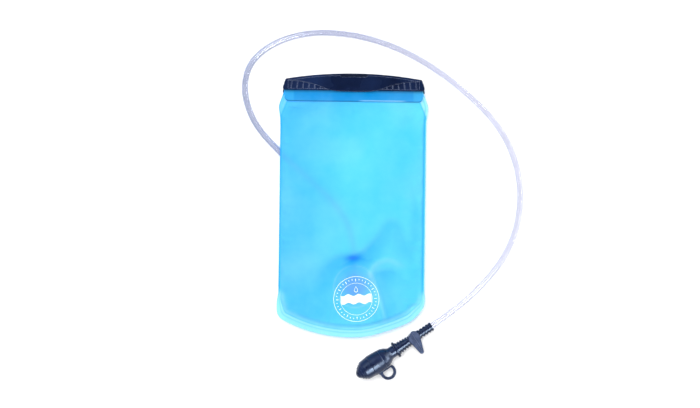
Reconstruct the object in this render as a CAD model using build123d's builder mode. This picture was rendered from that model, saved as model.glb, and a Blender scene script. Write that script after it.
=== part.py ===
from build123d import *
import os
from math import cos, pi, radians, sin, tan

# Hydration bladder: a welded film reservoir with a slide-lock mouth, a drinking hose that leaves a
# port in its back wall, and a mouthpiece with a shut-off valve and a capped bite valve.
# It lies on its back on Z = 0, front wall up, with its mouth towards +Y. Sizes are in millimetres.

os.makedirs("parts", exist_ok=True)

# ---- reservoir walls
FILM = 0.5
WELD_Z = 14.5
NECK_HALF = 91.5
NECK_Y = 152.5
SHOULDER_HALF = 99.5
SHOULDER_Y = 131.0
WAIST_HALF = 96.8
WAIST_TOP_Y = 112.0
WAIST_LOW_Y = -117.0
HEM_HALF = 98.8
HEM_Y = -127.0
FOOT_Y = -175.5
FOOT_RADIUS = 195.8
FOOT_CENTRE_Y = FOOT_Y + FOOT_RADIUS
CORNER_RADIUS = 16.0

SIDE_SEAM = 4.0
FOOT_SEAM = 10.0
PILLOW_TOP_Y = 136.5
PILLOW_ANGLES = [0, 15, 30, 45, 60, 75, 90]
PILLOW_CORNER = 18.0
FRONT_TOP_Z = 28.5
FRONT_SPAN = (72.0, 75.0, 90.0)
BACK_SPAN = (30.0, 32.0, 40.0)
CUT_THROUGH = 0.1
ARC_SHARE = 0.45

# ---- folded mouth and its stiffener
SLOT_END_Y = 157.0
BEAD_Y = 160.6
BEAD_RADIUS = 2.0
BEAD_HALF = 89.0
FOLD_Z = WELD_Z + 1.5 * FILM
FLAP_EDGE_Y = 137.4
FLAP_CORNER = 5.5
FIT = 0.05

# ---- slide lock
LOCK_LOW_Z = 9.8
LOCK_HIGH_Z = 20.6
LOCK_SLOT = (13.7, 16.8)
LOCK_CAVITY = (11.6, 18.9)
LOCK_CAVITY_Y = (156.5, 164.2)
LOCK_BACK_Y = 166.8
LOCK_RAIL_Y = 152.1
LOCK_LEG_Y = 147.3
LOCK_CREST_Y = 174.5
LOCK_RAIL_HALF = 95.0
LOCK_BACK_HALF = 90.5
LOCK_CORNER = 3.0
LOCK_EDGE = 1.1
LENS_RISE = 0.8
LENS_INSET = 2.4
LENS_EDGE = 0.5
LENS_LOW_Y = 150.6
LENS_SIDE = [(62.0, 162.0), (47.0, 158.0), (35.0, 153.4), (22.0, 151.1)]
RIB_PITCH = 7.8
RIB_WIDTH = 1.1
RIB_DEPTH = 0.9
RIB_LEAN = 8.0
RIB_COUNT = 6
RIB_FIRST = 4.5
RIB_ZONE = (32.0, 87.0)
RIB_ZONE_EDGE = 1.7
BOSS_LENGTH = 37.0
BOSS_WIDTH = 4.4
BOSS_RISE = 1.4
BOSS_INSET = 0.6
BOSS_EDGE = 0.5

# ---- port in the back wall
PORT_X = 4.5
PORT_Y = -107.4
POCKET_TOP_Z = 13.5
POCKET_FOOT_RADIUS = 40.0
POCKET_TOP_RADIUS = 31.0
FLANGE_RADIUS = 27.0
FLANGE_THICKNESS = 2.0
FLANGE_BEVEL = 1.2
FLANGE_RIB_RADIUS = 17.0
FLANGE_RIB_WIDTH = 1.5
FLANGE_RIB_RISE = 0.8
SPIGOT_RADIUS = 9.0
SPIGOT_LOW_Z = 10.9
SPIGOT_BORE = 6.2
NUT_RADIUS = 12.5
NUT_LOW_Z = 9.0
NUT_HIGH_Z = 13.3
NUT_LIP = 0.9
NUT_GRIPS = 18
NUT_GRIP_RADIUS = 0.7
ELBOW_COLLAR_RADIUS = 7.6
ELBOW_NECK_RADIUS = 5.4
ELBOW_HEAD_RADIUS = 6.1
ELBOW_HEAD_TOP_Z = 15.6
ELBOW_BARREL_RADIUS = 4.25
ELBOW_REACH = 10.0
WATER_WAY = 2.2
PORT_SEAL_Z = 12.9
PORT_SEAL_SECTION = 0.8
PORT_SEAL_GROOVE = 4.6

# ---- hose
HOSE_RADIUS = 4.5
HOSE_BORE = 3.2
HOSE_Z = HOSE_RADIUS
TUNNEL_WIDTH = 12.0
TUNNEL_TOP_Z = 9.6
TUNNEL_BELOW = 1.0
BARB_RADIUS = 2.95
BARB_RIDGE = 3.17
BARB_LENGTH = 16.0
BARB_STEPS = 4
BARB_RAMP = 0.8

# ---- mouthpiece, in stations along its axis from the hose end of the inlet collar
MOUTH_HEADING = 213.7
MOUTH_TILT = 5.3
MOUTH_START = Vector(107.6, -159.8, 6.4)
HOSE_END = 20.0
INLET_COLLAR = (0.0, 20.9)
INLET_COLLAR_RADII = (6.3, 6.1)
OUTLET_COLLAR = (37.4, 55.0)
OUTLET_COLLAR_RADII = (7.1, 8.4)
COLLAR_BORE = HOSE_RADIUS + 0.08
COLLAR_RIBS = 5
COLLAR_RIB_DEPTH = 1.1
COLLAR_RIB_SHARES = (0.46, 0.56, 0.90)
HUB = 28.8
BARREL = (21.1, 36.4)
BARREL_RADIUS = 6.3
NIPPLE_RADIUS = 3.1
NIPPLE_END = 52.8
RING_CENTRE = (18.7, 81.7)
RING_OUTER = 10.6
RING_INNER = 6.8
RING_HALF_HEIGHT = 1.6
RING_BAR = (13.75, 15.4)
RING_BAR_LENGTH = 15.0
RING_WEB = [(13.0, 87.0), (19.5, 90.5), (13.0, 95.0)]
CAP_RIM = 79.7
CAP_BORE = 12.2

# Half sections of the mouthpiece parts, as (radius, station) points in order round each outline.
STEM_PROFILE = [
    (3.15, 36.8),
    (4.53, 36.8),
    (4.53, 55.2),
    (10.4, 55.2),
    (11.4, 56.2),
    (11.4, 57.6),
    (10.4, 58.6),
    (4.5, 58.6),
    (4.5, 70.0),
    (4.9, 71.0),
    (4.0, 75.0),
    (2.2, 75.0),
    (2.2, 53.2),
    (3.15, 53.2),
]
HOUSING_PROFILE = [
    (6.2, 58.8),
    (7.8, 58.8),
    (7.8, 65.4),
    (8.8, 67.4),
    (11.1, 71.0),
    (12.7, 75.0),
    (13.5, 78.8),
    (13.2, 79.4),
    (11.3, 79.4),
    (11.3, 83.6),
    (10.1, 83.6),
    (10.1, 76.5),
    (9.0, 71.8),
    (6.2, 67.0),
]
BITE_VALVE_PROFILE = [
    (4.95, 60.0),
    (6.1, 60.0),
    (6.1, 67.6),
    (8.3, 74.0),
    (8.8, 82.0),
    (8.8, 92.0),
    (7.9, 100.0),
    (5.2, 106.0),
    (2.0, 108.4),
    (0, 108.6),
    (0, 105.4),
    (3.4, 103.6),
    (6.4, 98.0),
    (7.3, 92.0),
    (7.3, 82.0),
    (4.95, 77.0),
]
BITE_SLIT = (8.0, 0.3)
BITE_SLIT_START = 102.0
CAP_PROFILE = [
    (11.4, CAP_RIM),
    (13.2, CAP_RIM),
    (13.5, CAP_RIM + 0.6),
    (14.2, 88.0),
    (14.5, 96.0),
    (14.0, 96.9),
    (13.6, 102.0),
    (12.9, 107.2),
    (12.2, 109.0),
    (11.5, 109.0),
    (10.5, 111.8),
    (9.8, 111.8),
    (8.0, 114.8),
    (7.2, 114.8),
    (4.5, 118.0),
    (2.3, 119.2),
    (0, 119.6),
    (0, 116.8),
    (2.6, 116.0),
    (7.4, 110.8),
    (10.4, 106.4),
    (11.4, 100.0),
]

# ---- shut-off valve, in heights along its turning axis
HUB_BOSS_TOP = 7.8
HUB_BOSS_LOW = -7.6
HUB_BOSS_RADIUS = 7.4
HUB_BOSS_BEVEL = 1.0
CORE_RADIUS = 4.45
CORE_BORE = 4.5
CORE_LOW = -5.9
CORE_END_GAP = 0.2
SEAL_HEIGHT = 4.0
SEAL_SECTION = 0.56
SEAL_RADIUS = 3.9
GROOVE_RADIUS = 3.3
GROOVE_HALF = 0.7
DRIVE_SIZE = 5.0
DRIVE_TOP = 10.2
LEVER_LOW = 8.0
LEVER_THICKNESS = 2.6
LEVER_EDGE = 1.0
LEVER_DISCS = [(0, 0, 8.0), (20.0, -1.5, 3.0), (-4.8, 1.8, 4.6)]
RIDGE_PLACE = (6.5, -0.9)
RIDGE_SIZE = (25.0, 3.2)
RIDGE_SUNK = 0.6
RIDGE_RISE = 1.5
RIDGE_TAPER = 18.0

ROUTE = [
    (4.5, -97.4, HOSE_Z),
    (4.5, -60, HOSE_Z),
    (-8, -14, HOSE_Z),
    (-50, 28, HOSE_Z),
    (-101, 72, HOSE_Z),
    (-133, 108, HOSE_Z),
    (-147, 148, HOSE_Z),
    (-142, 184, HOSE_Z),
    (-117, 210, HOSE_Z),
    (-77, 227, HOSE_Z),
    (-30, 231, HOSE_Z),
    (28, 222, HOSE_Z),
    (88, 197, HOSE_Z),
    (148, 155, HOSE_Z),
    (200, 103, HOSE_Z),
    (224, 42, HOSE_Z),
    (223, -20, HOSE_Z),
    (203, -70, HOSE_Z),
    (166, -114, HOSE_Z),
]
TUNNEL_POINTS = 6

# Directions at the mouthpiece: along it towards the tip, level across it, and its own upwards.
heading = Vector(cos(radians(MOUTH_HEADING)), sin(radians(MOUTH_HEADING)), 0)
along = heading * cos(radians(MOUTH_TILT)) + Vector(0, 0, sin(radians(MOUTH_TILT)))
across = Vector(-heading.Y, heading.X, 0)
upward = across.cross(along) * -1
mouth_axis = Axis(MOUTH_START, along)
axial_plane = Plane(origin=MOUTH_START, x_dir=across, z_dir=across.cross(along))
hub_plane = Plane(origin=MOUTH_START + along * HUB, x_dir=across, z_dir=upward)
hub_axis = Axis(hub_plane.origin, upward)
hub_profile_plane = Plane(origin=hub_plane.origin, x_dir=across, z_dir=across.cross(upward))


def axial_sketch(points, plane=axial_plane):
    """A closed outline of (radius, station) points, ready to turn about the mouthpiece."""
    with BuildSketch(plane) as outline:
        with BuildLine():
            Polyline(points, close=True)
        make_face()
    return outline.sketch


def film_outline(height):
    """One wall laid flat: neck, shoulders, drawn-in sides and a rounded foot."""
    right = [
        (NECK_HALF, SLOT_END_Y),
        (NECK_HALF, NECK_Y),
        (SHOULDER_HALF, SHOULDER_Y),
        (WAIST_HALF, WAIST_TOP_Y),
        (WAIST_HALF, WAIST_LOW_Y),
        (HEM_HALF, HEM_Y),
        (HEM_HALF, FOOT_Y),
    ]
    left = [(-x, y) for x, y in reversed(right)]
    with BuildSketch(Plane.XY.offset(height)) as outline:
        with BuildLine():
            Polyline(right + left, close=True)
        make_face()
        with Locations((0, FOOT_CENTRE_Y)):
            Circle(FOOT_RADIUS, mode=Mode.INTERSECT)
        fillet(outline.vertices().sort_by(Axis.Y)[:2], CORNER_RADIUS)
    return outline.sketch


def pillow_sections(base, top, spans, skin):
    """Level sections of a swollen wall, from its seam at base to its flat middle at top."""
    side_span, foot_span, mouth_span = spans
    sections = []
    for angle in PILLOW_ANGLES:
        inward = 1 - cos(radians(angle))
        half = WAIST_HALF - SIDE_SEAM - skin - side_span * inward
        mouth = PILLOW_TOP_Y - skin - mouth_span * inward
        height = base + (top - base) * sin(radians(angle))
        with BuildSketch(Plane.XY.offset(height)) as section:
            with Locations((0, FOOT_CENTRE_Y)):
                Circle(FOOT_RADIUS - FOOT_SEAM - skin - foot_span * inward)
            with Locations((0, mouth)):
                Rectangle(2 * half, 2 * FOOT_RADIUS, align=(Align.CENTER, Align.MAX), mode=Mode.INTERSECT)
            fillet(section.vertices(), PILLOW_CORNER)
        sections.append(section.sketch)
    return sections


def teardrop(growth):
    """The mouth folded round its stiffener, seen from the end, grown by some layers of film."""
    with BuildSketch(Plane.YZ.offset(-NECK_HALF)) as drop:
        with Locations((BEAD_Y, FOLD_Z)):
            Circle(BEAD_RADIUS + FIT + growth)
        with Locations((SLOT_END_Y, FOLD_Z)):
            Rectangle(FILM, FILM + 2 * growth)
        make_hull()
    return drop.sketch


def flap_outline(height):
    """The free end of the folded mouth, with its rounded corners."""
    with BuildSketch(Plane.XY.offset(height)) as flap:
        with Locations((0, FLAP_EDGE_Y)):
            Rectangle(2 * NECK_HALF, SLOT_END_Y - FLAP_EDGE_Y, align=(Align.CENTER, Align.MIN))
        fillet(flap.vertices().group_by(Axis.Y)[0], FLAP_CORNER)
    return flap.sketch


def corner_radii(route):
    """The largest tangent arc that fits each corner of a route of points."""
    radii = []
    for before, corner, after in zip(route, route[1:], route[2:]):
        run_in = Vector(corner) - Vector(before)
        run_out = Vector(after) - Vector(corner)
        turn = run_in.get_angle(run_out)
        shorter = min(run_in.length, run_out.length)
        radii.append(ARC_SHARE * shorter / tan(radians(turn / 2)))
    return radii


def tunnel_outline(growth):
    """Plan of the channel that the back wall leaves over the hose."""
    route = [point[:2] for point in ROUTE[:TUNNEL_POINTS]]
    with BuildSketch(Plane.XY.offset(-TUNNEL_BELOW)) as tunnel:
        with BuildLine():
            FilletPolyline(route, radius=corner_radii(route))
        trace(line_width=TUNNEL_WIDTH + 2 * growth)
    return tunnel.sketch


def barb_points(tip, root):
    """Radius and station points of a hose barb, whose ridges face its root."""
    pitch = (root - tip) / BARB_STEPS
    points = []
    for step in range(BARB_STEPS):
        foot = tip + step * pitch
        ridge = foot + BARB_RAMP * pitch
        points += [(BARB_RADIUS, foot), (BARB_RIDGE, ridge), (BARB_RADIUS, ridge)]
    return points + [(BARB_RADIUS, root)]


def ribbed_collar(stations, radii):
    """A sleeve over a hose or stem, with square ribs that go evenly from one radius to another."""
    start, end = stations
    near_radius, far_radius = radii
    land, groove_start, groove_end = COLLAR_RIB_SHARES
    pitch = (end - start) / (COLLAR_RIBS - 1 + land)
    points = [(COLLAR_BORE, start)]
    for rib in range(COLLAR_RIBS):
        radius = near_radius + (far_radius - near_radius) * rib / (COLLAR_RIBS - 1)
        groove = radius - COLLAR_RIB_DEPTH
        foot = start + rib * pitch
        points += [(radius, foot), (radius, foot + land * pitch)]
        if rib < COLLAR_RIBS - 1:
            points += [(groove, foot + groove_start * pitch), (groove, foot + groove_end * pitch)]
    return axial_sketch(points + [(COLLAR_BORE, end)])


# ---- front wall: the inner layer of the folded mouth
with BuildPart() as front_film:
    extrude(teardrop(FILM), amount=2 * NECK_HALF)
    extrude(teardrop(0), amount=2 * NECK_HALF, mode=Mode.SUBTRACT)
    split(bisect_by=Plane.XZ.offset(-SLOT_END_Y), keep=Keep.BOTTOM)
    extrude(film_outline(WELD_Z), amount=FILM)
    extrude(flap_outline(WELD_Z + 2 * FILM), amount=FILM)
    loft(pillow_sections(WELD_Z + FILM, FRONT_TOP_Z, FRONT_SPAN, 0), ruled=True)
    loft(
        pillow_sections(WELD_Z - CUT_THROUGH, FRONT_TOP_Z - FILM, FRONT_SPAN, FILM),
        ruled=True,
        mode=Mode.SUBTRACT,
    )

# ---- back wall: lies on the ground, lifted over the hose and over the port
with BuildPart() as lower_space:
    loft(pillow_sections(WELD_Z + CUT_THROUGH, FILM, BACK_SPAN, FILM), ruled=True)
    extrude(tunnel_outline(FILM), amount=TUNNEL_BELOW + TUNNEL_TOP_Z + FILM, mode=Mode.SUBTRACT)
    with Locations((PORT_X, PORT_Y, 0)):
        Cone(
            POCKET_FOOT_RADIUS + 2 * FILM,
            POCKET_TOP_RADIUS + FILM,
            POCKET_TOP_Z + FILM,
            align=(Align.CENTER, Align.CENTER, Align.MIN),
            mode=Mode.SUBTRACT,
        )

with BuildPart() as back_film:
    extrude(teardrop(2 * FILM), amount=2 * NECK_HALF)
    extrude(teardrop(FILM), amount=2 * NECK_HALF, mode=Mode.SUBTRACT)
    split(bisect_by=Plane.XZ.offset(-SLOT_END_Y), keep=Keep.BOTTOM)
    extrude(film_outline(WELD_Z - FILM), amount=FILM)
    extrude(flap_outline(WELD_Z + 3 * FILM), amount=FILM)
    loft(pillow_sections(WELD_Z - FILM, 0, BACK_SPAN, 0), ruled=True)
    extrude(tunnel_outline(0), amount=TUNNEL_BELOW + TUNNEL_TOP_Z, mode=Mode.SUBTRACT)
    with Locations((PORT_X, PORT_Y, 0)):
        Cone(
            POCKET_FOOT_RADIUS,
            POCKET_TOP_RADIUS,
            POCKET_TOP_Z,
            align=(Align.CENTER, Align.CENTER, Align.MIN),
            mode=Mode.SUBTRACT,
        )
        Cylinder(SPIGOT_RADIUS + FIT, 2 * WELD_Z, mode=Mode.SUBTRACT)
    add(lower_space.part, mode=Mode.SUBTRACT)

# ---- stiffener inside the fold
with BuildPart() as mouth_bead:
    with BuildSketch(Plane.YZ.offset(-BEAD_HALF)):
        with Locations((BEAD_Y, FOLD_Z)):
            Circle(BEAD_RADIUS)
    extrude(amount=2 * BEAD_HALF)


# ---- slide lock: an arched front plate, a straight rear leg and a slot between their lips
def lock_outline(low_y, crest_y, corner):
    """Plan of one leg of the lock: a straight rail, leaning ends and an arched back."""
    with BuildSketch() as outline:
        with BuildLine():
            Polyline(
                (-LOCK_BACK_HALF, LOCK_BACK_Y),
                (-LOCK_RAIL_HALF, low_y),
                (LOCK_RAIL_HALF, low_y),
                (LOCK_BACK_HALF, LOCK_BACK_Y),
            )
            if crest_y > LOCK_BACK_Y:
                ThreePointArc((LOCK_BACK_HALF, LOCK_BACK_Y), (0, crest_y), (-LOCK_BACK_HALF, LOCK_BACK_Y))
            else:
                Line((LOCK_BACK_HALF, LOCK_BACK_Y), (-LOCK_BACK_HALF, LOCK_BACK_Y))
        make_face()
        fillet(outline.vertices(), corner)
    return outline.sketch


def lens_outline():
    """Plan of the smooth raised panel: it dips below the rail in the middle."""
    right = [(LOCK_BACK_HALF - LENS_INSET, LOCK_BACK_Y - LENS_INSET), *LENS_SIDE]
    left = [(-x, y) for x, y in reversed(right)]
    with BuildSketch() as lens:
        with BuildLine():
            ThreePointArc(left[-1], (0, LOCK_CREST_Y - LENS_INSET), right[0])
            Spline([*right, (0, LENS_LOW_Y), *left])
        make_face()
    return lens.sketch


def rib_zone(side):
    """Plan of the sunk cells between the grip ribs on one end of the lock."""
    near, far = RIB_ZONE
    depth = LOCK_BACK_Y - LOCK_RAIL_Y
    with BuildSketch() as cells:
        with Locations((side * (near + far) / 2, LOCK_RAIL_Y + depth / 2)):
            Rectangle(far - near, depth - 2 * RIB_ZONE_EDGE)
        for rib in range(RIB_COUNT):
            with Locations((side * (far - RIB_FIRST - rib * RIB_PITCH), LOCK_RAIL_Y + depth / 2)):
                Rectangle(RIB_WIDTH, 2 * depth, rotation=side * RIB_LEAN, mode=Mode.SUBTRACT)
    return cells.sketch


with BuildPart() as slide_lock:
    with BuildSketch(Plane.XY.offset(LOCK_SLOT[1])):
        add(lock_outline(LOCK_RAIL_Y, LOCK_CREST_Y, LOCK_CORNER))
    extrude(amount=LOCK_HIGH_Z - LOCK_SLOT[1])
    fillet(slide_lock.faces().sort_by(Axis.Z)[-1].edges(), LOCK_EDGE)
    with BuildSketch(Plane.XY.offset(LOCK_LOW_Z)):
        add(lock_outline(LOCK_LEG_Y, LOCK_BACK_Y, LOCK_CORNER))
    extrude(amount=LOCK_SLOT[0] - LOCK_LOW_Z)
    fillet(slide_lock.faces().sort_by(Axis.Z)[0].edges(), LOCK_EDGE)
    with BuildSketch(Plane.XY.offset(LOCK_SLOT[0])):
        with Locations((0, LOCK_BACK_Y)):
            Rectangle(
                2 * LOCK_BACK_HALF - 2 * LOCK_CORNER,
                LOCK_BACK_Y - LOCK_CAVITY_Y[1],
                align=(Align.CENTER, Align.MAX),
            )
    extrude(amount=LOCK_SLOT[1] - LOCK_SLOT[0])
    with BuildSketch(Plane.XY.offset(LOCK_HIGH_Z)):
        add(rib_zone(1))
        add(rib_zone(-1))
    extrude(amount=-RIB_DEPTH, mode=Mode.SUBTRACT)
    with BuildSketch(Plane.XY.offset(LOCK_SLOT[1])):
        add(lens_outline())
    extrude(amount=LOCK_HIGH_Z + LENS_RISE - LOCK_SLOT[1])
    chamfer(slide_lock.faces().sort_by(Axis.Z)[-1].edges(), LENS_EDGE)
    with BuildSketch(Plane.XY.offset(LOCK_SLOT[1])):
        with Locations((0, LOCK_CREST_Y - BOSS_WIDTH / 2 - BOSS_INSET)):
            SlotOverall(BOSS_LENGTH, BOSS_WIDTH)
    extrude(amount=LOCK_HIGH_Z + BOSS_RISE - LOCK_SLOT[1])
    fillet(slide_lock.faces().sort_by(Axis.Z)[-1].edges(), BOSS_EDGE)
    with BuildSketch(Plane.YZ.offset(-LOCK_RAIL_HALF - 1)):
        with Locations((sum(LOCK_CAVITY_Y) / 2, sum(LOCK_CAVITY) / 2)):
            Rectangle(LOCK_CAVITY_Y[1] - LOCK_CAVITY_Y[0], LOCK_CAVITY[1] - LOCK_CAVITY[0])
    extrude(amount=2 * LOCK_RAIL_HALF + 2, mode=Mode.SUBTRACT)

# ---- port flange: a disc inside the back wall with a spigot through it
with BuildPart() as port_flange:
    with BuildSketch(Plane.XY.offset(POCKET_TOP_Z + FILM)):
        with Locations((PORT_X, PORT_Y)):
            Circle(FLANGE_RADIUS)
    extrude(amount=FLANGE_THICKNESS)
    chamfer(port_flange.faces().sort_by(Axis.Z)[-1].edges(), FLANGE_BEVEL)
    with BuildSketch(Plane.XY.offset(POCKET_TOP_Z + FILM + FLANGE_THICKNESS)):
        with Locations((PORT_X, PORT_Y)):
            Circle(FLANGE_RIB_RADIUS)
            Circle(FLANGE_RIB_RADIUS - FLANGE_RIB_WIDTH, mode=Mode.SUBTRACT)
    extrude(amount=FLANGE_RIB_RISE)
    with BuildSketch(Plane.XY.offset(SPIGOT_LOW_Z)):
        with Locations((PORT_X, PORT_Y)):
            Circle(SPIGOT_RADIUS)
    extrude(amount=POCKET_TOP_Z + FILM - SPIGOT_LOW_Z)
    with Locations((PORT_X, PORT_Y, WELD_Z)):
        Cylinder(SPIGOT_BORE, 2 * WELD_Z, mode=Mode.SUBTRACT)

# ---- port nut: its lip holds the elbow's collar against the spigot
with BuildPart() as port_nut:
    with BuildSketch(Plane.XY.offset(NUT_LOW_Z)):
        with Locations((PORT_X, PORT_Y)):
            Circle(NUT_RADIUS)
            with PolarLocations(NUT_RADIUS, NUT_GRIPS):
                Circle(NUT_GRIP_RADIUS, mode=Mode.SUBTRACT)
    extrude(amount=NUT_HIGH_Z - NUT_LOW_Z)
    with BuildSketch(Plane.XY.offset(NUT_LOW_Z + NUT_LIP)):
        with Locations((PORT_X, PORT_Y)):
            Circle(SPIGOT_RADIUS + FIT)
    extrude(amount=NUT_HIGH_Z, mode=Mode.SUBTRACT)
    with Locations((PORT_X, PORT_Y, NUT_LOW_Z)):
        Cylinder(ELBOW_NECK_RADIUS + 2 * FIT, 4 * NUT_LIP, mode=Mode.SUBTRACT)

# ---- port elbow: head in the spigot, neck down, barrel and barb towards +Y
port_axis = Axis((PORT_X, PORT_Y, 0), (0, 0, 1))
elbow_axis = Axis((PORT_X, PORT_Y, HOSE_Z), (0, 1, 0))
port_profile_plane = Plane(origin=(PORT_X, PORT_Y, 0), x_dir=(1, 0, 0), z_dir=(0, -1, 0))
elbow_profile_plane = Plane(origin=(PORT_X, PORT_Y, HOSE_Z), x_dir=(1, 0, 0), z_dir=(0, 0, 1))
with BuildPart() as port_elbow:
    head = [
        (0, HOSE_Z),
        (ELBOW_NECK_RADIUS, HOSE_Z),
        (ELBOW_NECK_RADIUS, NUT_LOW_Z + NUT_LIP),
        (ELBOW_COLLAR_RADIUS, NUT_LOW_Z + NUT_LIP),
        (ELBOW_COLLAR_RADIUS, SPIGOT_LOW_Z),
        (ELBOW_HEAD_RADIUS, SPIGOT_LOW_Z),
        (ELBOW_HEAD_RADIUS, PORT_SEAL_Z - PORT_SEAL_SECTION),
        (PORT_SEAL_GROOVE, PORT_SEAL_Z - PORT_SEAL_SECTION),
        (PORT_SEAL_GROOVE, PORT_SEAL_Z + PORT_SEAL_SECTION),
        (ELBOW_HEAD_RADIUS, PORT_SEAL_Z + PORT_SEAL_SECTION),
        (ELBOW_HEAD_RADIUS, ELBOW_HEAD_TOP_Z),
        (0, ELBOW_HEAD_TOP_Z),
    ]
    revolve(axial_sketch(head, port_profile_plane), axis=port_axis)
    barrel = [
        (0, -ELBOW_NECK_RADIUS),
        (ELBOW_BARREL_RADIUS, -ELBOW_NECK_RADIUS),
        (ELBOW_BARREL_RADIUS, ELBOW_REACH),
        *reversed(barb_points(ELBOW_REACH + BARB_LENGTH, ELBOW_REACH)),
        (0, ELBOW_REACH + BARB_LENGTH),
    ]
    revolve(axial_sketch(barrel, elbow_profile_plane), axis=elbow_axis)
    with Locations((PORT_X, PORT_Y, HOSE_Z)):
        Cylinder(WATER_WAY, WELD_Z, align=(Align.CENTER, Align.CENTER, Align.MIN), mode=Mode.SUBTRACT)
    with BuildSketch(Plane(origin=(PORT_X, PORT_Y, HOSE_Z), x_dir=(1, 0, 0), z_dir=(0, 1, 0))):
        Circle(WATER_WAY)
    extrude(amount=ELBOW_REACH + BARB_LENGTH, mode=Mode.SUBTRACT)

with BuildPart() as port_o_ring:
    with Locations((PORT_X, PORT_Y, PORT_SEAL_Z)):
        Torus(SPIGOT_BORE - PORT_SEAL_SECTION, PORT_SEAL_SECTION - FIT)

# ---- hose: straight runs joined by tangent arcs, into the inlet collar along the mouthpiece axis
hose_entry = -(MOUTH_START.Z - HOSE_Z) / sin(radians(MOUTH_TILT))
hose_route = ROUTE + [
    tuple(MOUTH_START + along * hose_entry),
    tuple(MOUTH_START + along * HOSE_END),
]
hose_radii = corner_radii(hose_route)
with BuildPart() as hose:
    with BuildLine() as hose_line:
        FilletPolyline(hose_route, radius=hose_radii)
    with BuildSketch(Plane(origin=hose_route[0], x_dir=(1, 0, 0), z_dir=(0, 1, 0))):
        Circle(HOSE_RADIUS)
        Circle(HOSE_BORE, mode=Mode.SUBTRACT)
    sweep()

# ---- inlet collar: ribbed sleeve over the hose end
with BuildPart() as inlet_collar:
    revolve(ribbed_collar(INLET_COLLAR, INLET_COLLAR_RADII), axis=mouth_axis)

# ---- valve body: barb, barrel, upright boss and outlet nipple
with BuildPart() as valve_body:
    body_profile = [
        (0, HOSE_END - BARB_LENGTH),
        *barb_points(HOSE_END - BARB_LENGTH, HOSE_END),
        (COLLAR_BORE - FIT, HOSE_END),
        (COLLAR_BORE - FIT, BARREL[0]),
        (BARREL_RADIUS, BARREL[0]),
        (BARREL_RADIUS, BARREL[1]),
        (NIPPLE_RADIUS, BARREL[1]),
        (NIPPLE_RADIUS, NIPPLE_END),
        (0, NIPPLE_END),
    ]
    revolve(axial_sketch(body_profile), axis=mouth_axis)
    boss_profile = [
        (0, HUB_BOSS_LOW),
        (HUB_BOSS_RADIUS - HUB_BOSS_BEVEL, HUB_BOSS_LOW),
        (HUB_BOSS_RADIUS, HUB_BOSS_LOW + HUB_BOSS_BEVEL),
        (HUB_BOSS_RADIUS, HUB_BOSS_TOP),
        (0, HUB_BOSS_TOP),
    ]
    revolve(axial_sketch(boss_profile, hub_profile_plane), axis=hub_axis)
    core_space = [
        (0, CORE_LOW - CORE_END_GAP),
        (CORE_BORE, CORE_LOW - CORE_END_GAP),
        (CORE_BORE, HUB_BOSS_TOP),
        (0, HUB_BOSS_TOP),
    ]
    revolve(axial_sketch(core_space, hub_profile_plane), axis=hub_axis, mode=Mode.SUBTRACT)
    water = [(0, 0), (WATER_WAY, 0), (WATER_WAY, NIPPLE_END), (0, NIPPLE_END)]
    revolve(axial_sketch(water), axis=mouth_axis, mode=Mode.SUBTRACT)

# ---- valve core: its cross hole stands across the water way, so the valve is shut
with BuildPart() as valve_plug:
    core_profile = [(0, CORE_LOW), (CORE_RADIUS, CORE_LOW)]
    for height in (-SEAL_HEIGHT, SEAL_HEIGHT):
        core_profile += [
            (CORE_RADIUS, height - GROOVE_HALF),
            (GROOVE_RADIUS, height - GROOVE_HALF),
            (GROOVE_RADIUS, height + GROOVE_HALF),
            (CORE_RADIUS, height + GROOVE_HALF),
        ]
    core_profile += [(CORE_RADIUS, LEVER_LOW), (0, LEVER_LOW)]
    revolve(axial_sketch(core_profile, hub_profile_plane), axis=hub_axis)
    with BuildSketch(hub_plane.offset(LEVER_LOW)):
        Rectangle(DRIVE_SIZE, DRIVE_SIZE)
    extrude(amount=DRIVE_TOP - LEVER_LOW)
    with BuildSketch(Plane(origin=hub_plane.origin - across * CORE_BORE, x_dir=upward, z_dir=across)):
        Circle(WATER_WAY)
    extrude(amount=2 * CORE_BORE, mode=Mode.SUBTRACT)


def plug_seal(height):
    """An O-ring in one of the core's grooves."""
    with BuildPart() as seal:
        with BuildSketch(hub_profile_plane):
            with Locations((SEAL_RADIUS, height)):
                Circle(SEAL_SECTION)
        revolve(axis=hub_axis)
    return seal


plug_seal_upper = plug_seal(SEAL_HEIGHT)
plug_seal_lower = plug_seal(-SEAL_HEIGHT)


# ---- thumb lever: a long and a short arm across the hose, with a ridge along the top
def lever_plan():
    """Plan of the lever: the hull of its hub, its long tip and its short tip."""
    with BuildSketch() as plan:
        for x, y, radius in LEVER_DISCS:
            with Locations((x, y)):
                Circle(radius)
        make_hull()
    return plan.sketch


with BuildPart() as shutoff_lever:
    with BuildSketch(hub_plane.offset(LEVER_LOW)):
        add(lever_plan())
    extrude(amount=LEVER_THICKNESS)
    fillet(shutoff_lever.faces().sort_by(Axis(hub_plane.origin, upward))[-1].edges(), LEVER_EDGE)
    with BuildSketch(hub_plane.offset(LEVER_LOW + LEVER_THICKNESS - RIDGE_SUNK)):
        with Locations(RIDGE_PLACE):
            SlotOverall(*RIDGE_SIZE)
    extrude(amount=RIDGE_SUNK + RIDGE_RISE, taper=RIDGE_TAPER)
    with BuildSketch(hub_plane.offset(LEVER_LOW)):
        Rectangle(DRIVE_SIZE + 2 * FIT, DRIVE_SIZE + 2 * FIT)
    extrude(amount=DRIVE_TOP - LEVER_LOW + FIT, mode=Mode.SUBTRACT)

# ---- outlet collar: ribbed sleeve that widens towards the mouthpiece
with BuildPart() as outlet_collar:
    revolve(ribbed_collar(OUTLET_COLLAR, OUTLET_COLLAR_RADII), axis=mouth_axis)

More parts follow.
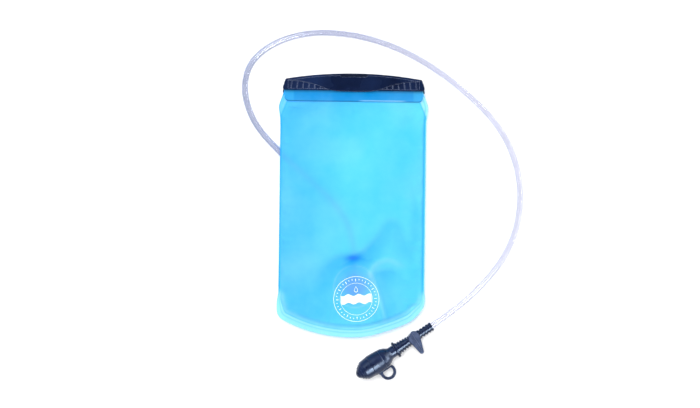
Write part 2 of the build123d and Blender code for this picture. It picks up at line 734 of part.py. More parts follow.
# ---- bite stem: spigot under the outlet collar, flange, and the nipple for the bite valve
with BuildPart() as bite_stem:
    revolve(axial_sketch(STEM_PROFILE), axis=mouth_axis)

# ---- bite housing: neck, flared cone and the lip that the cap fits over
with BuildPart() as bite_housing:
    revolve(axial_sketch(HOUSING_PROFILE), axis=mouth_axis)

# ---- bite valve: soft sleeve with a slit tip
with BuildPart() as bite_valve:
    revolve(axial_sketch(BITE_VALVE_PROFILE), axis=mouth_axis)
    with BuildSketch(Plane(origin=MOUTH_START + along * BITE_SLIT_START, x_dir=across, z_dir=along)):
        Rectangle(*BITE_SLIT)
    extrude(amount=BITE_SLIT[0], mode=Mode.SUBTRACT)

# ---- dust cap: a bullet-shaped shell with a pull ring at its rim
with BuildPart() as dust_cap:
    with BuildSketch(axial_plane):
        with Locations(RING_CENTRE):
            Circle(RING_OUTER)
            Circle(RING_INNER, mode=Mode.SUBTRACT)
        with Locations((sum(RING_BAR) / 2, CAP_RIM)):
            Rectangle(RING_BAR[1] - RING_BAR[0], RING_BAR_LENGTH)
        with BuildLine():
            Polyline(RING_WEB, close=True)
        make_face()
    extrude(amount=RING_HALF_HEIGHT, both=True)
    housing_space = [(0, 0), (RING_BAR[0], 0), (RING_BAR[0], CAP_RIM), (0, CAP_RIM)]
    revolve(axial_sketch(housing_space), axis=mouth_axis, mode=Mode.SUBTRACT)
    bite_space = [(0, CAP_RIM), (CAP_BORE, CAP_RIM), (CAP_BORE, RING_WEB[-1][1]), (0, RING_WEB[-1][1])]
    revolve(axial_sketch(bite_space), axis=mouth_axis, mode=Mode.SUBTRACT)
    revolve(axial_sketch(CAP_PROFILE), axis=mouth_axis)

pieces = {
    "front_film": front_film,
    "back_film": back_film,
    "mouth_bead": mouth_bead,
    "slide_lock": slide_lock,
    "port_flange": port_flange,
    "port_nut": port_nut,
    "port_o_ring": port_o_ring,
    "port_elbow": port_elbow,
    "hose": hose,
    "inlet_collar": inlet_collar,
    "valve_body": valve_body,
    "valve_plug": valve_plug,
    "plug_seal_upper": plug_seal_upper,
    "plug_seal_lower": plug_seal_lower,
    "shutoff_lever": shutoff_lever,
    "outlet_collar": outlet_collar,
    "bite_stem": bite_stem,
    "bite_housing": bite_housing,
    "bite_valve": bite_valve,
    "dust_cap": dust_cap,
}
for name, piece in pieces.items():
    piece.part.label = name
    export_step(piece.part, f"parts/{name}.step")

print("hose radii", [round(radius) for radius in hose_radii])
hose_length = hose_line.wires()[0].length
hose_section = pi * (HOSE_RADIUS**2 - HOSE_BORE**2)
print("hose length", round(hose_length, 1), "volume ratio", hose.part.volume / hose_section / hose_length)
print("along", along, "across", across, "upward", upward, "hub", hub_plane.origin)
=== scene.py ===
import math

import bmesh
import bpy
import numpy as np
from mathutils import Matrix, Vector, noise


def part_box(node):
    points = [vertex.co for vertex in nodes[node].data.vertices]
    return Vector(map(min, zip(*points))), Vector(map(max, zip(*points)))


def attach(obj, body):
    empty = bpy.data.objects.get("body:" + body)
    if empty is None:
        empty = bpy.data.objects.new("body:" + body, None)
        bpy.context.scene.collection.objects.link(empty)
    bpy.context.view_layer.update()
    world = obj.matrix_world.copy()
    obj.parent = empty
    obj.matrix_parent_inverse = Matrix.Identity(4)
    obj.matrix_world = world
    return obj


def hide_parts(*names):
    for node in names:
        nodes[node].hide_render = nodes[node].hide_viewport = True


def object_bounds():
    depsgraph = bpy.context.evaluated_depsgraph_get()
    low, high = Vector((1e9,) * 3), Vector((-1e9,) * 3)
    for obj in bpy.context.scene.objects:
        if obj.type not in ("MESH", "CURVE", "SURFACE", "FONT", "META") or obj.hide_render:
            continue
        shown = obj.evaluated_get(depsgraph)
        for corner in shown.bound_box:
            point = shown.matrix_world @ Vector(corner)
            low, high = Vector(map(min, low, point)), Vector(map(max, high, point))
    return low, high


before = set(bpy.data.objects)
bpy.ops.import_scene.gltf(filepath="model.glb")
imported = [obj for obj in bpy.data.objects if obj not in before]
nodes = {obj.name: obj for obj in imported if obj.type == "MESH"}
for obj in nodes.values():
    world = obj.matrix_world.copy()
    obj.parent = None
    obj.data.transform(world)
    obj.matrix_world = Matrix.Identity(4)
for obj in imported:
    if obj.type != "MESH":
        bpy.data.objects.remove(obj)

cad_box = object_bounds()

# Lengths are in millimetres up to the moment a mesh is made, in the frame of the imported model:
# +Z up out of the bag's front wall, +Y towards its mouth.
MM = 0.001
BODY = "reservoir"

# ---- camera: straight down, turned a little about the view, as far away as a long lens needs
LENS = 85.0
SENSOR = 36.0
VIEW_WIDTH = 931.0
VIEW_CENTRE = (-3.1, 1.6)
VIEW_LEVEL = 10.0
VIEW_ROLL = 0.7


def make_camera():
    """Looks straight down on the object."""
    data = bpy.data.cameras.new("camera")
    data.lens = LENS
    data.sensor_width = SENSOR
    camera = bpy.data.objects.new("camera", data)
    height = VIEW_LEVEL + VIEW_WIDTH * LENS / SENSOR
    camera.location = Vector((*VIEW_CENTRE, height)) * MM
    camera.rotation_euler = (0, 0, math.radians(VIEW_ROLL))
    bpy.context.scene.collection.objects.link(camera)
    bpy.context.scene.camera = camera


make_camera()


# ---- small tools
def as_mesh(name, points, faces, body=BODY, smooth=True):
    """A mesh object from points in millimetres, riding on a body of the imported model."""
    mesh = bpy.data.meshes.new(name)
    mesh.from_pydata([tuple(p) for p in np.asarray(points, float) * MM], [], [tuple(f) for f in faces])
    mesh.validate()
    mesh.polygons.foreach_set("use_smooth", [smooth] * len(mesh.polygons))
    piece = bpy.data.objects.new(name, mesh)
    bpy.context.scene.collection.objects.link(piece)
    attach(piece, body)
    return piece


def smooth_noise(x, y, scale, seed):
    """Perlin noise over the plane, about -0.5 to 0.5, with features about scale millimetres wide."""
    flat = zip(np.ravel(x) / scale, np.ravel(y) / scale)
    return np.array([noise.noise((a, b, seed)) for a, b in flat]).reshape(np.shape(x))


def smooth_line(points, steps=8):
    """Points along a smooth curve through the given ones."""
    given = np.array(points, float)
    given = np.vstack([2 * given[0] - given[1], given, 2 * given[-1] - given[-2]])
    line = [given[1]]
    for p0, p1, p2, p3 in zip(given, given[1:], given[2:], given[3:]):
        for t in np.linspace(0, 1, steps + 1)[1:]:
            bend = (2 * p0 - 5 * p1 + 4 * p2 - p3) * t**2 + (3 * p1 - p0 - 3 * p2 + p3) * t**3
            line.append((2 * p1 + (p2 - p0) * t + bend) / 2)
    return line


def stroke(x, y, points, left, right):
    """Strength of a line of (x, y, strength) points, which fades over a width of its own on each side."""
    line = smooth_line(points)
    nearest = np.full(np.shape(x), 1e9)
    strength = np.zeros(np.shape(x))
    width = np.full(np.shape(x), float(left))
    for (ax, ay, a), (bx, by, b) in zip(line, line[1:]):
        dx, dy = bx - ax, by - ay
        share = np.clip(((x - ax) * dx + (y - ay) * dy) / (dx * dx + dy * dy), 0, 1)
        gap = np.hypot(x - ax - share * dx, y - ay - share * dy)
        closer = gap < nearest
        nearest = np.where(closer, gap, nearest)
        strength = np.where(closer, a + share * (b - a), strength)
        width = np.where(closer, np.where(dx * (y - ay) > dy * (x - ax), left, right), width)
    return strength * np.exp(-((nearest / width) ** 2))


# ---- hose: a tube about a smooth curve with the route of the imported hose
HOSE_RADIUS = 4.5
HOSE_BORE = 3.2
HOSE_SIDES = 28
ROUTE = [
    (4.5, -97.4, 4.5),
    (4.5, -60, 4.5),
    (-8, -14, 4.5),
    (-50, 28, 4.5),
    (-101, 72, 4.5),
    (-133, 108, 4.5),
    (-147, 148, 4.5),
    (-142, 184, 4.5),
    (-117, 210, 4.5),
    (-77, 227, 4.5),
    (-30, 231, 4.5),
    (28, 222, 4.5),
    (88, 197, 4.5),
    (148, 155, 4.5),
    (200, 103, 4.5),
    (224, 42, 4.5),
    (223, -20, 4.5),
    (203, -70, 4.5),
    (166, -114, 4.5),
    (124.6, -148.4, 4.5),
    (91.0, -170.8, 8.25),
]


def hose_centreline():
    """Points along the NURBS curve that has the route as its control points."""
    data = bpy.data.curves.new("hose_line", "CURVE")
    data.dimensions = "3D"
    data.resolution_u = 12
    spline = data.splines.new("NURBS")
    spline.points.add(len(ROUTE) - 1)
    for point, place in zip(spline.points, ROUTE):
        point.co = (*(Vector(place) * MM), 1)
    spline.order_u = 3
    spline.use_endpoint_u = True
    line = bpy.data.objects.new("hose_line", data)
    bpy.context.scene.collection.objects.link(line)
    bpy.context.view_layer.update()
    mesh = bpy.data.meshes.new_from_object(line)
    points = [v.co.copy() for v in mesh.vertices]
    bpy.data.objects.remove(line)
    bpy.data.meshes.remove(mesh)
    return points


def tube(path, outer, inner, sides):
    """Points and faces of a hollow tube along a path, carried round without twist."""
    count = len(path)
    tangents = [(path[min(i + 1, count - 1)] - path[max(i - 1, 0)]).normalized() for i in range(count)]
    side = tangents[0].orthogonal().normalized()
    points = []
    for place, tangent in zip(path, tangents):
        side = (side - tangent * side.dot(tangent)).normalized()
        other = tangent.cross(side)
        for radius in (outer, inner):
            for k in range(sides):
                turn = 2 * math.pi * k / sides
                points.append(place + side * (radius * math.cos(turn)) + other * (radius * math.sin(turn)))
    faces = []
    for i in range(count - 1):
        for k in range(sides):
            a, b = i * 2 * sides + k, i * 2 * sides + (k + 1) % sides
            faces.append((a, b, b + 2 * sides, a + 2 * sides))
            c, d = a + sides, b + sides
            faces.append((d, c, c + 2 * sides, d + 2 * sides))
    last = (count - 1) * 2 * sides
    for k in range(sides):
        a, b = k, (k + 1) % sides
        faces.append((b, a, a + sides, b + sides))
        faces.append((last + a, last + b, last + b + sides, last + a + sides))
    return points, faces


hose_path = hose_centreline()
hose_under_bag = hose_path[: len(hose_path) // 3]
hose_points, hose_faces = tube([p / MM for p in hose_path], HOSE_RADIUS, HOSE_BORE, HOSE_SIDES)
hose = as_mesh("drinking_hose", hose_points, hose_faces)
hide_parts("hose")

# ---- film walls: their outline, swelling and folds
NECK_HALF = 91.5
NECK_Y = 152.5
SLOT_END_Y = 157.0
SHOULDER_HALF = 99.5
SHOULDER_Y = 131.0
WAIST_HALF = 96.8
WAIST_TOP_Y = 112.0
WAIST_LOW_Y = -117.0
HEM_HALF = 98.8
HEM_Y = -127.0
FOOT_Y = -175.5
FOOT_RADIUS = 195.8
FOOT_CENTRE_Y = FOOT_Y + FOOT_RADIUS
CORNER_RADIUS = 16.0
RIGHT_CORNER = [
    (97.2, -117),
    (97.6, -125),
    (96.4, -133.5),
    (91.4, -141.5),
    (84.5, -149.2),
    (76, -155.2),
    (60, -162.2),
    (44, -167.8),
    (28, -172.6),
    (14, -175.0),
]
# where the cut on the right starts, the span over which it deepens, its depth and its power
RIGHT_CUT = (26.0, 72.5, 13.4, 1.8)
SIDE_SEAM = 3.4
FOOT_SEAM = 10.0
SEAM_TOP_Y = -116.0
SEAM_LOW_Y = -147.0
SECOND_LINE = 0.62
WELD_Z = 14.5
FILM = 0.4
SHEET_GAP = 0.02
WELD_DEPTH = 0.22
SWELL_POWER = 0.72
FRONT_RISE = 13.4
BACK_DROP = 14.2
MOUTH_Y = 137.0
FRONT_SPAN = (74.0, 75.0, 95.0)
BACK_SPAN = (30.0, 34.0, 42.0)
PORT = (4.5, -107.4)
POCKET_RADII = (27.5, 41.0)
POCKET_Z = 13.75
SPIGOT_HOLE = 8.6
TUNNEL_Z = 9.8
TUNNEL_HALF = 6.5
SIDE_STEPS = 172
FOOT_STEPS = 104
OUTLINE_STEPS = 400
CORNER_STEPS = 40
ARC_STEPS = 200
# distances of the rows of points from the edge, closest together where the weld lines lie
BAND = [0, 0.5, 1.0, 1.6, 2.3, 3.0, 3.8, 4.6, 5.4, 6.0, 6.3, 6.6, 6.9, 7.2]
BAND += [7.8, 8.6, 9.4, 9.7, 10, 10.3, 10.9, 12]

side_y = [-400.0, HEM_Y, WAIST_LOW_Y, WAIST_TOP_Y, SHOULDER_Y, NECK_Y, 400.0]
side_half = [HEM_HALF, HEM_HALF, WAIST_HALF, WAIST_HALF, SHOULDER_HALF, NECK_HALF, NECK_HALF]
fine_y = np.arange(-200.0, 200.0, 0.5)
EASE = 9
rough_half = np.interp(fine_y, side_y, side_half)
ease_window = np.ones(2 * EASE + 1) / (2 * EASE + 1)
fine_half = np.convolve(np.pad(rough_half, EASE, mode="edge"), ease_window, "valid")


def half_width(y):
    """Half the width of the flat wall at y, with its corners eased."""
    return np.interp(y, fine_y, fine_half)


def foot_gap(x, y):
    """How far a point lies inside the curved foot, which is cut back on the right."""
    start, span, depth, power = RIGHT_CUT
    cut = depth * np.clip((x - start) / span, 0, 1.1) ** power
    return FOOT_RADIUS - np.hypot(x, y - FOOT_CENTRE_Y) - cut


def left_outline():
    """The left half of the wall's edge, mirrored, from the neck to the foot, and where its corner is."""
    corner_x = HEM_HALF - CORNER_RADIUS
    corner_y = FOOT_CENTRE_Y - math.sqrt((FOOT_RADIUS - CORNER_RADIUS) ** 2 - corner_x**2)
    low = math.atan2(corner_x, FOOT_CENTRE_Y - corner_y)
    side = np.linspace(SLOT_END_Y, corner_y, OUTLINE_STEPS)
    bend = np.linspace(0, math.pi / 2 - low, CORNER_STEPS)[1:]
    foot = np.linspace(low, 0, ARC_STEPS)[1:]
    bend_x = corner_x + CORNER_RADIUS * np.cos(bend)
    bend_y = corner_y - CORNER_RADIUS * np.sin(bend)
    x = np.concatenate([half_width(side), bend_x, FOOT_RADIUS * np.sin(foot)])
    y = np.concatenate([side, bend_y, FOOT_CENTRE_Y - FOOT_RADIUS * np.cos(foot)])
    return np.column_stack([x, y]), len(side) + len(bend) // 2


def right_outline():
    """The right half of the wall's edge, whose corner is cut back, and where its corner is."""
    side = np.linspace(SLOT_END_Y, RIGHT_CORNER[0][1], OUTLINE_STEPS)[:-1]
    bend = np.array(smooth_line(RIGHT_CORNER))
    low = math.asin(bend[-1, 0] / FOOT_RADIUS)
    foot = np.linspace(low, 0, CORNER_STEPS)[1:]
    x = np.concatenate([half_width(side), bend[:, 0], FOOT_RADIUS * np.sin(foot)])
    y = np.concatenate([side, bend[:, 1], FOOT_CENTRE_Y - FOOT_RADIUS * np.cos(foot)])
    return np.column_stack([x, y]), len(side) + int(np.hypot(*(bend - RIGHT_CORNER[3]).T).argmin())


def evenly(points, count):
    """A line of points divided into equal steps."""
    run = np.concatenate([[0], np.cumsum(np.hypot(*np.diff(points, axis=0).T))])
    places = np.linspace(0, run[-1], count)
    return np.column_stack([np.interp(places, run, points[:, 0]), np.interp(places, run, points[:, 1])])


def wall_layout():
    """Places on one wall laid flat, its faces, and the rows across its top edge.

    A band of rows follows the welded edge, and a patch fills what they leave."""
    left, left_bend = left_outline()
    left = left * (-1, 1)
    right, right_bend = right_outline()
    side_left = evenly(left[: left_bend + 1], SIDE_STEPS)
    side_right = evenly(right[: right_bend + 1], SIDE_STEPS)
    foot = evenly(np.vstack([left[left_bend:], right[right_bend:][-2::-1]]), FOOT_STEPS)
    edge = np.vstack([side_left, foot[1:], side_right[::-1][1:]])
    ahead = np.gradient(edge, axis=0)
    inward = np.column_stack([-ahead[:, 1], ahead[:, 0]])
    inward /= np.hypot(*inward.T)[:, None]
    inward[0], inward[-1] = (1, 0), (-1, 0)
    rows = [edge + inward * gap for gap in BAND]
    around = len(edge)
    places = np.vstack(rows)
    faces = []
    for row in range(len(BAND) - 1):
        for k in range(around - 1):
            a = row * around + k
            faces.append((a, a + 1, a + 1 + around, a + around))
    inner = rows[-1]
    inner_first = (len(BAND) - 1) * around
    left_side = inner[:SIDE_STEPS][::-1]
    right_side = inner[-SIDE_STEPS:]
    bottom = inner[SIDE_STEPS - 1 : SIDE_STEPS - 1 + FOOT_STEPS]
    top = np.linspace(left_side[-1], right_side[-1], FOOT_STEPS)
    u = np.linspace(0, 1, FOOT_STEPS)[:, None, None]
    v = np.linspace(0, 1, SIDE_STEPS)[None, :, None]
    patch = (
        (1 - v) * bottom[:, None]
        + v * top[:, None]
        + (1 - u) * left_side[None]
        + u * right_side[None]
        - (1 - u) * (1 - v) * left_side[0]
        - u * (1 - v) * right_side[0]
        - (1 - u) * v * left_side[-1]
        - u * v * right_side[-1]
    )
    index = np.full((FOOT_STEPS, SIDE_STEPS), -1)
    index[0] = inner_first + np.arange(SIDE_STEPS)[::-1]
    index[-1] = inner_first + around - SIDE_STEPS + np.arange(SIDE_STEPS)
    index[:, 0] = inner_first + SIDE_STEPS - 1 + np.arange(FOOT_STEPS)
    fresh = index < 0
    index[fresh] = len(places) + np.arange(fresh.sum())
    places = np.vstack([places, patch[fresh]])
    for i in range(FOOT_STEPS - 1):
        for j in range(SIDE_STEPS - 1):
            faces.append((index[i, j], index[i + 1, j], index[i + 1, j + 1], index[i, j + 1]))
    starts = [row * around for row in range(len(BAND))]
    ends = [row * around + around - 1 for row in range(len(BAND))]
    top_row = starts[:-1] + list(index[:, -1]) + ends[:-1][::-1]
    return places, faces, top_row, edge


wall_places, wall_faces, wall_top, wall_edge = wall_layout()
edge_run = np.concatenate([[0], np.cumsum(np.hypot(*np.diff(wall_edge, axis=0).T))])


def smooth_step(share):
    """A share held between 0 and 1, level at both of its ends."""
    share = np.clip(share, 0, 1)
    return share * share * (3 - 2 * share)


foot_share = smooth_step((SEAM_TOP_Y - wall_edge[:, 1]) / (SEAM_TOP_Y - SEAM_LOW_Y))
edge_seam = SIDE_SEAM + (FOOT_SEAM - SIDE_SEAM) * foot_share


def edge_distance(x, y):
    """Distance from the welded edge, how far along it the nearest point lies, and the weld's width there."""
    found = np.empty((3, len(x)))
    for first in range(0, len(x), 4000):
        part = slice(first, first + 4000)
        place = np.column_stack([x[part], y[part]])
        nearest = np.hypot(*(place[:, None] - wall_edge[None]).transpose(2, 0, 1)).argmin(1)
        best = np.full(len(place), 1e9)
        for back in (0, 1):
            a = np.clip(nearest - back, 0, len(wall_edge) - 2)
            step = wall_edge[a + 1] - wall_edge[a]
            share = np.clip(((place - wall_edge[a]) * step).sum(1) / (step * step).sum(1), 0, 1)
            gap = np.hypot(*(place - wall_edge[a] - step * share[:, None]).T)
            run = edge_run[a] + share * (edge_run[a + 1] - edge_run[a])
            seam = edge_seam[a] + share * (edge_seam[a + 1] - edge_seam[a])
            closer = gap < best
            best = np.where(closer, gap, best)
            found[:, part] = np.where(closer, (gap, run, seam), found[:, part])
    return found


def swell(gap, span):
    """How far a wall has risen, 0 to 1, at a gap inside its weld: steep first, then level."""
    left = 1 - np.clip(gap / span, 0, 1)
    return (1 - left**2) ** SWELL_POWER


# Folds of a wall: (x, y, strength) points, the widths over which it fades on its left and on its
# right, its depth in millimetres (negative rises) and the share of painted shade, a deeper blue, that it
# adds; for ridges that share is a painted highlight in pale cyan.
FRONT_FOLDS = [
    # the knot above the port, where the folds meet
    ([(-13, -71.5, 0), (-4, -71.5, 0.5), (3, -71, 1), (9, -68, 0.6), (19, -61, 0)], 4, 6, 2.0, 0.40),
    # left: a crest that runs down from the knot, dark below it
    ([(8, -70, 0.5), (-4, -69.5, 1), (-18, -72, 0.9), (-30, -81, 0.7), (-40, -95, 0.5),
      (-47, -112, 0.25), (-52, -132, 0)], 20, 6, 1.8, 0.40),
    # right: up from the knot, over an arch and down
    ([(2, -72, 0.6), (14, -66, 1), (26, -55, 0.9), (37, -42, 0.7), (45, -29, 0.6), (52, -23, 0.5),
      (60, -27, 0.5), (66, -41, 0.5), (72, -58, 0.4), (79, -76, 0)], 6, 17, 2.2, 0.52),
    # below the light ridge on the right
    ([(31, -93, 0.3), (40, -88, 0.9), (52, -87, 0.8), (64, -93, 0.3)], 4, 15, 1.2, 0.42),
    ([(34, -96, 0.3), (40, -112, 0.9), (46, -130, 0.8), (52, -150, 0.6), (53, -162, 0.2)],
     15, 3.5, 1.8, 0.30),
    # soft bands
    ([(-62, 56, 0), (-60, 10, 0.8), (-58, -50, 0.8), (-64, -112, 0)], 9, 12, 0.8, 0.08),
    ([(78, 30, 0.2), (84, 4, 1), (85, -36, 1), (80, -72, 0.4)], 4, 6, 1.0, 0.16),
    ([(54, 122, 0), (60, 70, 0.8), (54, 6, 0)], 24, 22, 0.9, 0.02),
    ([(-96, 104, 0.3), (-84, 121, 1), (-62, 131, 1), (-34, 134, 0.3)], 7, 12, 1.6, 0.20),
    ([(-20, 134, 0.2), (20, 132, 1), (80, 134, 0.6)], 5, 6, 0.8, 0.05),
    ([(90, 130, 0.6), (74, 112, 1), (64, 96, 0.2)], 7, 8, 1.0, 0.05),
]
FRONT_RIDGES = [
    # the ridge that arches over to the right of the port, and its long foot, both with a painted highlight
    ([(24, -91, 0.8), (29, -80, 1), (38, -73.5, 1), (50, -71.5, 0.9), (62, -76, 0.6), (74, -82, 0)],
     3.2, 4.5, 1.5, 0.30),
    ([(24, -90, 0.8), (30, -104, 0.8), (37, -122, 0.8), (43, -142, 0.8), (46.5, -160, 0.5)],
     2.6, 3.4, 1.3, 0.30),
]
BACK_FOLDS = [
    ([(-36, -100, 0.6), (-62, -84, 1), (-80, -62, 0)], 5, 8, -1.4, 0.2),
    ([(44, -96, 0.6), (66, -74, 1), (84, -52, 0)], 8, 5, -1.4, 0.2),
    ([(-26, -136, 0.8), (-40, -152, 0.8)], 5, 7, -1.6, 0.2),
    ([(34, -138, 0.8), (48, -154, 0.8)], 7, 5, -1.6, 0.2),
    ([(-46, 96, 0.4), (-66, 70, 1), (-80, 30, 0)], 5, 9, -1.2, 0.2),
    ([(56, 104, 0.4), (70, 60, 1), (76, 10, 0)], 9, 6, -1.2, 0.2),
]
LINE_WIDTH = 0.6
FOOT_EASE = 1.2
PUCKER = 0.9
PUCKER_PITCH = 8.0
PUCKER_REACH = 16.0
SAG = 2.6
SAG_SCALE = 70.0
FRONT_SLACK = 14.0
BACK_SLACK = 10.0
# seeds of the noise, one for each use
SAG_SEED = 3.7
FRONT_PUCKER_SEED = 11.3
BACK_PUCKER_SEED = 5.9
CLOUD_SEED = 2.2
FLAP_SEED = 8.1


def folds(x, y, table):
    """Depth and painted shading of a table of folds: shade in folds, highlight on ridges."""
    depth = np.zeros(np.shape(x))
    painted_shading = np.zeros(np.shape(x))
    for points, left, right, deep, tint in table:
        share = stroke(x, y, points, left, right)
        depth += deep * share
        painted_shading += tint * share
    return depth, painted_shading


def puckers(x, y, inside, seed):
    """Small gathers that run in from the weld and fade."""
    gap, run, _ = edge_distance(x, y)
    wave = smooth_noise(run, gap * 0.25, PUCKER_PITCH, seed)
    fade = np.clip(inside / 3, 0, 1) * np.exp(-np.clip(inside, 0, None) / PUCKER_REACH)
    return PUCKER * 2 * wave * fade


def weld_lines(x, y):
    """1 on the two lines pressed along the foot and along the sloping shoulders."""
    gap, _, seam = edge_distance(x, y)
    first = np.exp(-(((gap - seam) / LINE_WIDTH) ** 2))
    second = 0.8 * np.exp(-(((gap - SECOND_LINE * seam) / LINE_WIDTH) ** 2))
    mark = np.maximum(first, second) * smooth_step((SEAM_TOP_Y - 2 - y) / 8)
    shoulder = np.exp(-(((gap - SIDE_SEAM) / LINE_WIDTH) ** 2))
    shoulder = shoulder * np.clip((y - 118) / 6, 0, 1) * (y < MOUTH_Y + 16)
    return np.maximum(mark, shoulder)


def wall_inside(x, y):
    """How far a point lies inside the welds and the closed mouth."""
    gap, _, seam = edge_distance(x, y)
    return np.minimum(gap - seam, MOUTH_Y - y)


def swelling(x, y, spans):
    """Share of its full rise that a wall has reached, easing in more softly along the broad foot weld."""
    side_span, foot_span, mouth_span = spans
    gap, _, seam = edge_distance(x, y)
    full = (
        swell(half_width(y) - SIDE_SEAM - np.abs(x), side_span)
        * swell(foot_gap(x, y) - FOOT_SEAM, foot_span)
        * swell(MOUTH_Y - y, mouth_span)
    )
    return full * smooth_step((gap - seam) / (FOOT_EASE * (seam - SIDE_SEAM) + 0.5))


def front_height(x, y):
    """Height of the front wall's middle surface."""
    inside = wall_inside(x, y)
    depth = folds(x, y, FRONT_FOLDS)[0] - folds(x, y, FRONT_RIDGES)[0]
    slack = smooth_step(inside / FRONT_SLACK)
    sag = SAG * smooth_noise(x, y, SAG_SCALE, SAG_SEED)
    rise = FRONT_RISE * swelling(x, y, FRONT_SPAN) - depth * slack + sag * slack
    rise = rise + puckers(x, y, inside, FRONT_PUCKER_SEED)
    rise = np.where(inside > 0, np.maximum(rise, SHEET_GAP), 0) - WELD_DEPTH * weld_lines(x, y)
    return WELD_Z + FILM / 2 + SHEET_GAP + rise


def port_distance(x, y):
    """Distance from the middle of the port."""
    return np.hypot(x - PORT[0], y - PORT[1])


def back_height(x, y):
    """Height of the back wall's middle surface."""
    inside = wall_inside(x, y)
    depth = folds(x, y, BACK_FOLDS)[0]
    rounded = np.clip(inside / BACK_SLACK, 0, 1)
    drop = BACK_DROP * swelling(x, y, BACK_SPAN)
    flat_z = WELD_Z - FILM / 2 - SHEET_GAP
    z = flat_z - drop - depth * rounded + WELD_DEPTH * weld_lines(x, y)
    z = z - puckers(x, y, inside, BACK_PUCKER_SEED)
    tunnel = np.full(np.shape(x), 1e9)
    for place in hose_under_bag:
        tunnel = np.minimum(tunnel, np.hypot(x - place.x / MM, y - place.y / MM))
    arch = TUNNEL_Z * np.exp(-((tunnel / TUNNEL_HALF) ** 4))
    near, far = POCKET_RADII
    ramp = np.clip((far - port_distance(x, y)) / (far - near), 0, 1)
    pocket = POCKET_Z * ramp * ramp * (3 - 2 * ramp)
    z = np.maximum.reduce([z, arch, pocket, np.full(np.shape(z), FILM / 2 + SHEET_GAP)])
    return np.where(inside > 0, z, flat_z + WELD_DEPTH * weld_lines(x, y))


# Colours of the film, with painted shade in its folds, knot and creases and painted highlights on its ridges.
CYAN = np.array((0.150, 0.800, 1.00))
LEFT_CYAN = np.array((0.130, 0.690, 1.00))
TOP_CYAN = np.array((0.130, 0.690, 1.00))
FOLD_SHADE_BLUE = np.array((0.000, 0.480, 1.00))
KNOT_SHADE_BLUE = np.array((0.000, 0.230, 1.00))
PALE_CYAN = np.array((0.520, 0.900, 1.00))
EDGE_SHADE_CYAN = np.array((0.030, 0.560, 1.00))
LAVENDER = np.array((0.230, 0.430, 0.95))
FLAP_BLUE = np.array((0.000, 0.430, 0.84))
FLAP_END = np.array((0.045, 0.560, 0.90))
NAVY_EDGE_AND_SHADOW = np.array((0.002, 0.080, 0.34))
# the knot, painted as the darkest shade where the folds meet: its place and its half sizes
KNOT = (2.0, -70.0, 9.0, 3.2)
# the port: two round tints (share, radius, power) and an arc (share, radius, width)
PORT_TINTS = [(0.30, 25.0, 6), (0.35, 15.0, 4)]
PORT_ARC = (0.35, 27.5, 1.0)
CLOUD_SIZE = 55.0
CLOUD_SHARE = 0.25
# the crease that closes each sloping shoulder: two heights, and how far out it lies there
CREASE_Y = (114, 138)
CREASE_HALF = (97.5, 87.5)


def blend(colour, other, share):
    """Moves each colour towards another by a share."""
    share = np.clip(share, 0, 1)[:, None]
    return colour * (1 - share) + other * share


def wall_colour(x, y, fold_shade, ridge_highlight, hose_share, knot_shade_share):
    """Colour of a wall outside its flap, with painted shade in its folds and creases and painted highlights
    on its ridges.
    """
    gap, _, seam = edge_distance(x, y)
    from_port = port_distance(x, y)

    # broad tints
    colour = np.tile(CYAN, (len(x), 1))
    colour = blend(colour, LEFT_CYAN, np.clip((-x - 10) / 80, 0, 1) ** 0.8)
    colour = blend(colour, TOP_CYAN, np.clip((y - 60) / 75, 0, 1) * np.clip((40 - x) / 110, 0, 1))
    colour = blend(colour, PALE_CYAN, CLOUD_SHARE * smooth_noise(x, y, CLOUD_SIZE, CLOUD_SEED))

    # the port and the hose as they show through the film
    port_share = sum(share * np.exp(-((from_port / radius) ** power)) for share, radius, power in PORT_TINTS)
    colour = blend(colour, LAVENDER, port_share)
    arc_share, arc_radius, arc_width = PORT_ARC
    colour = blend(colour, PALE_CYAN, arc_share * np.exp(-(((from_port - arc_radius) / arc_width) ** 2)))
    route = [(p.x / MM, p.y / MM, 1) for p in hose_under_bag[::8]]
    colour = blend(colour, LAVENDER, hose_share * stroke(x, y, route, 4, 4))

    # painted shade in the folds and in the knot where they meet, and painted highlights on the ridges
    colour = blend(colour, FOLD_SHADE_BLUE, fold_shade)
    knot_x, knot_y, knot_wide, knot_high = KNOT
    from_knot = ((x - knot_x) / knot_wide) ** 2 + ((y - knot_y) / knot_high) ** 2
    colour = blend(colour, KNOT_SHADE_BLUE, knot_shade_share * np.exp(-from_knot))
    colour = blend(colour, PALE_CYAN, ridge_highlight)

    # the side welds: deeper blue bands just inside them are painted shade where the film curves down to the
    # weld
    on_side = (y > HEM_Y - 4) & (y < NECK_Y)
    colour = blend(colour, EDGE_SHADE_CYAN, 0.9 * np.exp(-(((gap - 2.4) / 1.4) ** 2)) * on_side * (x > 0))
    colour = blend(colour, EDGE_SHADE_CYAN, 0.95 * np.exp(-(((gap - 0.9) / 1.4) ** 2)) * on_side * (x < 0))
    colour = blend(colour, PALE_CYAN, 0.5 * np.exp(-((gap / 0.9) ** 2)) * (x > 0))

    # the shoulders, with a line of painted shade along the crease that closes each
    crease = np.abs(x) - np.interp(y, CREASE_Y, CREASE_HALF)
    corner = smooth_step(crease / 1.5) * (y > 113) * (y < NECK_Y - 8)
    colour = blend(colour, PALE_CYAN, corner * np.where(x > 0, 0.9, 0.35))
    colour = blend(colour, EDGE_SHADE_CYAN, 0.5 * np.exp(-((crease / 1.0) ** 2)) * (y > 116) * (y < 140))

    # the foot weld, and just inside it a band of painted light that offsets the shade of the film's steep
    # rise
    low = smooth_step((SEAM_TOP_Y + 6 - y) / 14)
    colour = blend(colour, PALE_CYAN, 0.85 * low * smooth_step((seam + 1 - gap) / 2))
    colour = blend(colour, PALE_CYAN, 0.45 * low * np.exp(-(((gap - seam - 2) / 4) ** 2)))
    colour = blend(colour, TOP_CYAN, 0.7 * weld_lines(x, y))
    return colour


